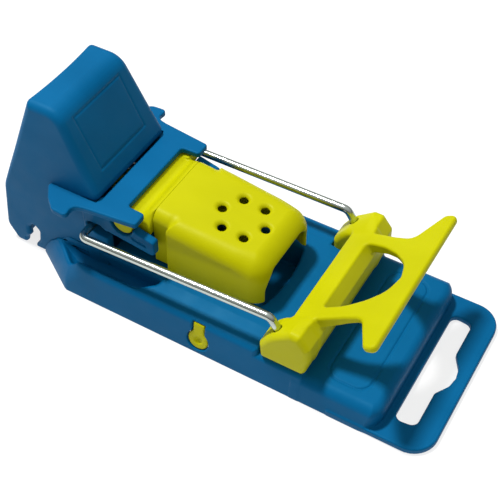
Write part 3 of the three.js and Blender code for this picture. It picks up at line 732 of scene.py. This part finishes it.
def plastic(name, dark, light, rough, tint):
    """Injection-moulded plastic: faint flow mottling, a fine mould texture and rubbed patches."""
    material, tree, shader = nodes_of(name)
    place = tree.nodes.new("ShaderNodeTexCoord")
    flow = noise(tree, place, scale=60, detail=4.0, stretch=(0.5, 1, 1))
    tree.links.new(ramp(tree, flow, dark, light), shader.inputs["Base Color"])
    rubbed = noise(tree, place, scale=220, detail=5.0)
    tree.links.new(to_range(tree, rubbed, *rough), shader.inputs["Roughness"])
    waves = noise(tree, place, scale=90, detail=1.0)
    swell = bump(tree, waves, strength=0.25, distance=0.4 * MM)
    fine = noise(tree, place, scale=2600, detail=2.0)
    grain = bump(tree, fine, strength=0.16, distance=0.05 * MM, below=swell)
    tree.links.new(grain, shader.inputs["Normal"])
    shader.inputs["IOR"].default_value = 1.49
    shader.inputs["Specular IOR Level"].default_value = 0.16
    shader.inputs["Specular Tint"].default_value = (*tint, 1)
    return material


def steel(name, dark, light, rough, stretch):
    """Drawn wire: fine marks along its length over bright metal."""
    material, tree, shader = nodes_of(name)
    place = tree.nodes.new("ShaderNodeTexCoord")
    drawn = noise(tree, place, 500, 2.0, stretch)
    marks = bump(tree, drawn, strength=0.05, distance=0.02 * MM)
    tree.links.new(ramp(tree, drawn, dark, light), shader.inputs["Base Color"])
    tree.links.new(to_range(tree, drawn, *rough), shader.inputs["Roughness"])
    tree.links.new(marks, shader.inputs["Normal"])
    shader.inputs["Metallic"].default_value = 1.0
    return material


LOOKS = {
    "blue_plastic": plastic("blue_plastic", dark=(0.0, 0.090, 0.225), light=(0.001, 0.106, 0.262),
                            rough=(0.44, 0.58), tint=(0.25, 0.75, 1.0)),
    "yellow_plastic": plastic("yellow_plastic", dark=(0.45, 0.445, 0.0), light=(0.50, 0.495, 0.001),
                              rough=(0.40, 0.52), tint=(1.0, 1.0, 0.45)),
    "steel_wire": steel("steel_wire", dark=(0.44, 0.49, 0.45), light=(0.60, 0.66, 0.61),
                        rough=(0.16, 0.26), stretch=(0.05, 1, 1)),
    "spring_steel": steel("spring_steel", dark=(0.30, 0.31, 0.32), light=(0.46, 0.47, 0.48),
                          rough=(0.28, 0.42), stretch=(1, 0.05, 1)),
}

# ---------------------------------------------------------------- moulded pieces

# name, field, CAD node, grid cell, body, material slot, and how far the grid passes the CAD box
MOULDED = [
    ("base_moulding", base_tray, "base_tray", 0.34, "housing", "blue_plastic", {"high": (0, 0, 2.2)}),
    ("tower_moulding", tower_housing, "tower_housing", 0.32, "housing", "blue_plastic",
     {"low": (-0.3, 0, 0)}),
    ("latch_plate", latch_frame, "latch_frame", 0.24, "housing", "blue_plastic", {}),
    ("cradle_moulding", axle_cradle, "axle_cradle", 0.35, "housing", "blue_plastic", {}),
    ("anchor_rod", anchor_pin, "spring_anchor_pin", 0.25, "housing", "steel_wire", {}),
    ("bait_cup_moulding", bait_cup, "bait_cup", 0.3, "housing", "yellow_plastic", {"high": (0, 0.4, 0)}),
    ("jaw_moulding", striker_jaw, "striker_jaw", 0.28, "striker", "yellow_plastic", {}),
    ("cam_moulding", catch_cam, "catch_cam", 0.25, "striker", "yellow_plastic", {}),
    ("trigger_moulding", trigger_arm, "trigger_arm", 0.26, "trigger", "yellow_plastic",
     {"low": (0, -1, 0), "high": (0, 1, 2)}),
    ("cover_moulding", bait_cover, "bait_cover", 0.25, "trigger", "yellow_plastic",
     {"low": (0, -1.3, 0), "high": (0, 1.3, 2.8)}),
]
for name, field, node, cell, body, slot, grown in MOULDED:
    moulded(name, field, node, cell, body, slot, box_of(node, **grown))


# ---------------------------------------------------------------- wire pieces


def bent(points, radius, steps=12):
    """A dense path along points whose corners are bent to a radius."""
    path = [np.array(points[0], float)]
    for i in range(1, len(points) - 1):
        p = np.array(points[i], float)
        u = np.array(points[i - 1], float) - p
        v = np.array(points[i + 1], float) - p
        u /= np.linalg.norm(u)
        v /= np.linalg.norm(v)
        half = math.acos(np.clip(u @ v, -1, 1)) / 2
        reach = radius / math.tan(half)
        for k in range(steps + 1):
            t = k / steps
            a, b = p + u * reach, p + v * reach
            path.append((1 - t) ** 2 * a + 2 * t * (1 - t) * p + t * t * b)
    path.append(np.array(points[-1], float))
    return path


def wire_piece(name, path, radius, body, node, slot, sides):
    """A round wire along a path, standing for a CAD node and riding on its body."""
    curve = bpy.data.curves.new(name, "CURVE")
    curve.dimensions = "3D"
    curve.bevel_depth = radius * MM
    curve.bevel_resolution = sides
    curve.use_fill_caps = True
    spline = curve.splines.new("POLY")
    spline.points.add(len(path) - 1)
    for point, p in zip(spline.points, path):
        point.co = (*(np.array(p) * MM), 1)
    spline.use_smooth = True
    curve.materials.append(LOOKS[slot])
    obj = bpy.data.objects.new(name, curve)
    bpy.context.scene.collection.objects.link(obj)
    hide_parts(node)
    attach(obj, body)


def bail_path():
    """The bail from its end in one lug, back to the axle, across, and forward to the other lug."""
    tip, bend, corner = (23.4, 13.6), WIRE_END[0], PIVOT
    axle_half = 19.5
    way = [(tip, WIRE_HALF), (bend, WIRE_HALF), (corner, axle_half)]
    near = [(x, -half, z) for (x, z), half in way]
    far = [(x, half, z) for (x, z), half in reversed(way)]
    return bent([*near, *far], 1.9)


def spring_path(side, mean=3.5, turns=3.5, inner=4.8, leg=9.0):
    """A straight leg over the anchor pin, then a coil round the axle towards the middle plane."""
    x, z = PIVOT
    pitch = 2 * SPRING_R + 0.12
    outer = inner + pitch * turns
    path = [(x - leg * (1 - k / 6), side * outer, z + mean) for k in range(6)]
    steps = int(turns * 32)
    for k in range(steps + 1):
        t = turns * k / steps
        angle = math.pi / 2 - math.tau * t
        path.append((x + mean * math.cos(angle), side * (outer - pitch * t), z + mean * math.sin(angle)))
    return path


wire_piece("bail", bail_path(), WIRE_R, "striker", "bail_wire", "steel_wire", 10)
for hand, side in (("left", 1), ("right", -1)):
    wire_piece(f"spring_{hand}", spring_path(side), SPRING_R, "housing", f"torsion_spring_{hand}",
               "spring_steel", 5)

# ---------------------------------------------------------------- floor, light and camera


def floor():
    """Pale paper that glows a little, so that it stays near white in the shadows."""
    reach = 3000
    points = np.array([(-1, -1, 0), (1, -1, 0), (1, 1, 0), (-1, 1, 0)], float) * reach
    obj = mesh_object("floor", points, np.array([[0, 1, 2, 3]]))
    material, _, shader = nodes_of("floor_paper")
    shader.inputs["Base Color"].default_value = (0.24, 0.24, 0.24, 1)
    shader.inputs["Emission Color"].default_value = (1, 1, 1, 1)
    shader.inputs["Emission Strength"].default_value = 0.76
    shader.inputs["Roughness"].default_value = 0.7
    obj.data.materials.append(material)


def lamp(name, place, target, size, power):
    """A square lamp at a place, facing a target, in metres and watts."""
    light = bpy.data.lights.new(name, "AREA")
    light.size = size
    light.energy = power
    obj = bpy.data.objects.new(name, light)
    obj.location = place
    obj.rotation_euler = (Vector(target) - Vector(place)).to_track_quat("-Z", "Y").to_euler()
    bpy.context.scene.collection.objects.link(obj)


def sky(strength):
    """A sky that is bright overhead and dark at the horizon."""
    world = bpy.data.worlds.new("studio")
    world.use_nodes = True
    tree = world.node_tree
    place = tree.nodes.new("ShaderNodeTexCoord")
    parts = tree.nodes.new("ShaderNodeSeparateXYZ")
    tree.links.new(place.outputs["Generated"], parts.inputs["Vector"])
    shade = ramp(tree, parts.outputs["Z"], (0.03, 0.03, 0.03), (1, 1, 1), (0.05, 0.85))
    tree.links.new(shade, tree.nodes["Background"].inputs["Color"])
    tree.nodes["Background"].inputs["Strength"].default_value = strength
    bpy.context.scene.world = world


def camera():
    """A camera over the front right corner, looking back and down at the trap."""
    azimuth, elevation = math.radians(30.265), math.radians(48.252)
    place = Vector((85.79, -142.16, 199.29)) * MM
    forward = Vector((
        -math.sin(azimuth) * math.cos(elevation),
        math.cos(azimuth) * math.cos(elevation),
        -math.sin(elevation),
    ))
    data = bpy.data.cameras.new("camera")
    data.sensor_width = 36
    data.lens = 74.963
    data.clip_start = 0.01
    data.clip_end = 20
    obj = bpy.data.objects.new("camera", data)
    obj.location = place
    obj.rotation_euler = forward.to_track_quat("-Z", "Y").to_euler()
    bpy.context.scene.collection.objects.link(obj)
    bpy.context.scene.camera = obj


floor()
lamp("key", (-0.30, 0.03, 0.80), (0, 0, 0.01), 0.10, 7.6)
sky(0.62)
camera()
bpy.context.scene.view_settings.view_transform = "Standard"
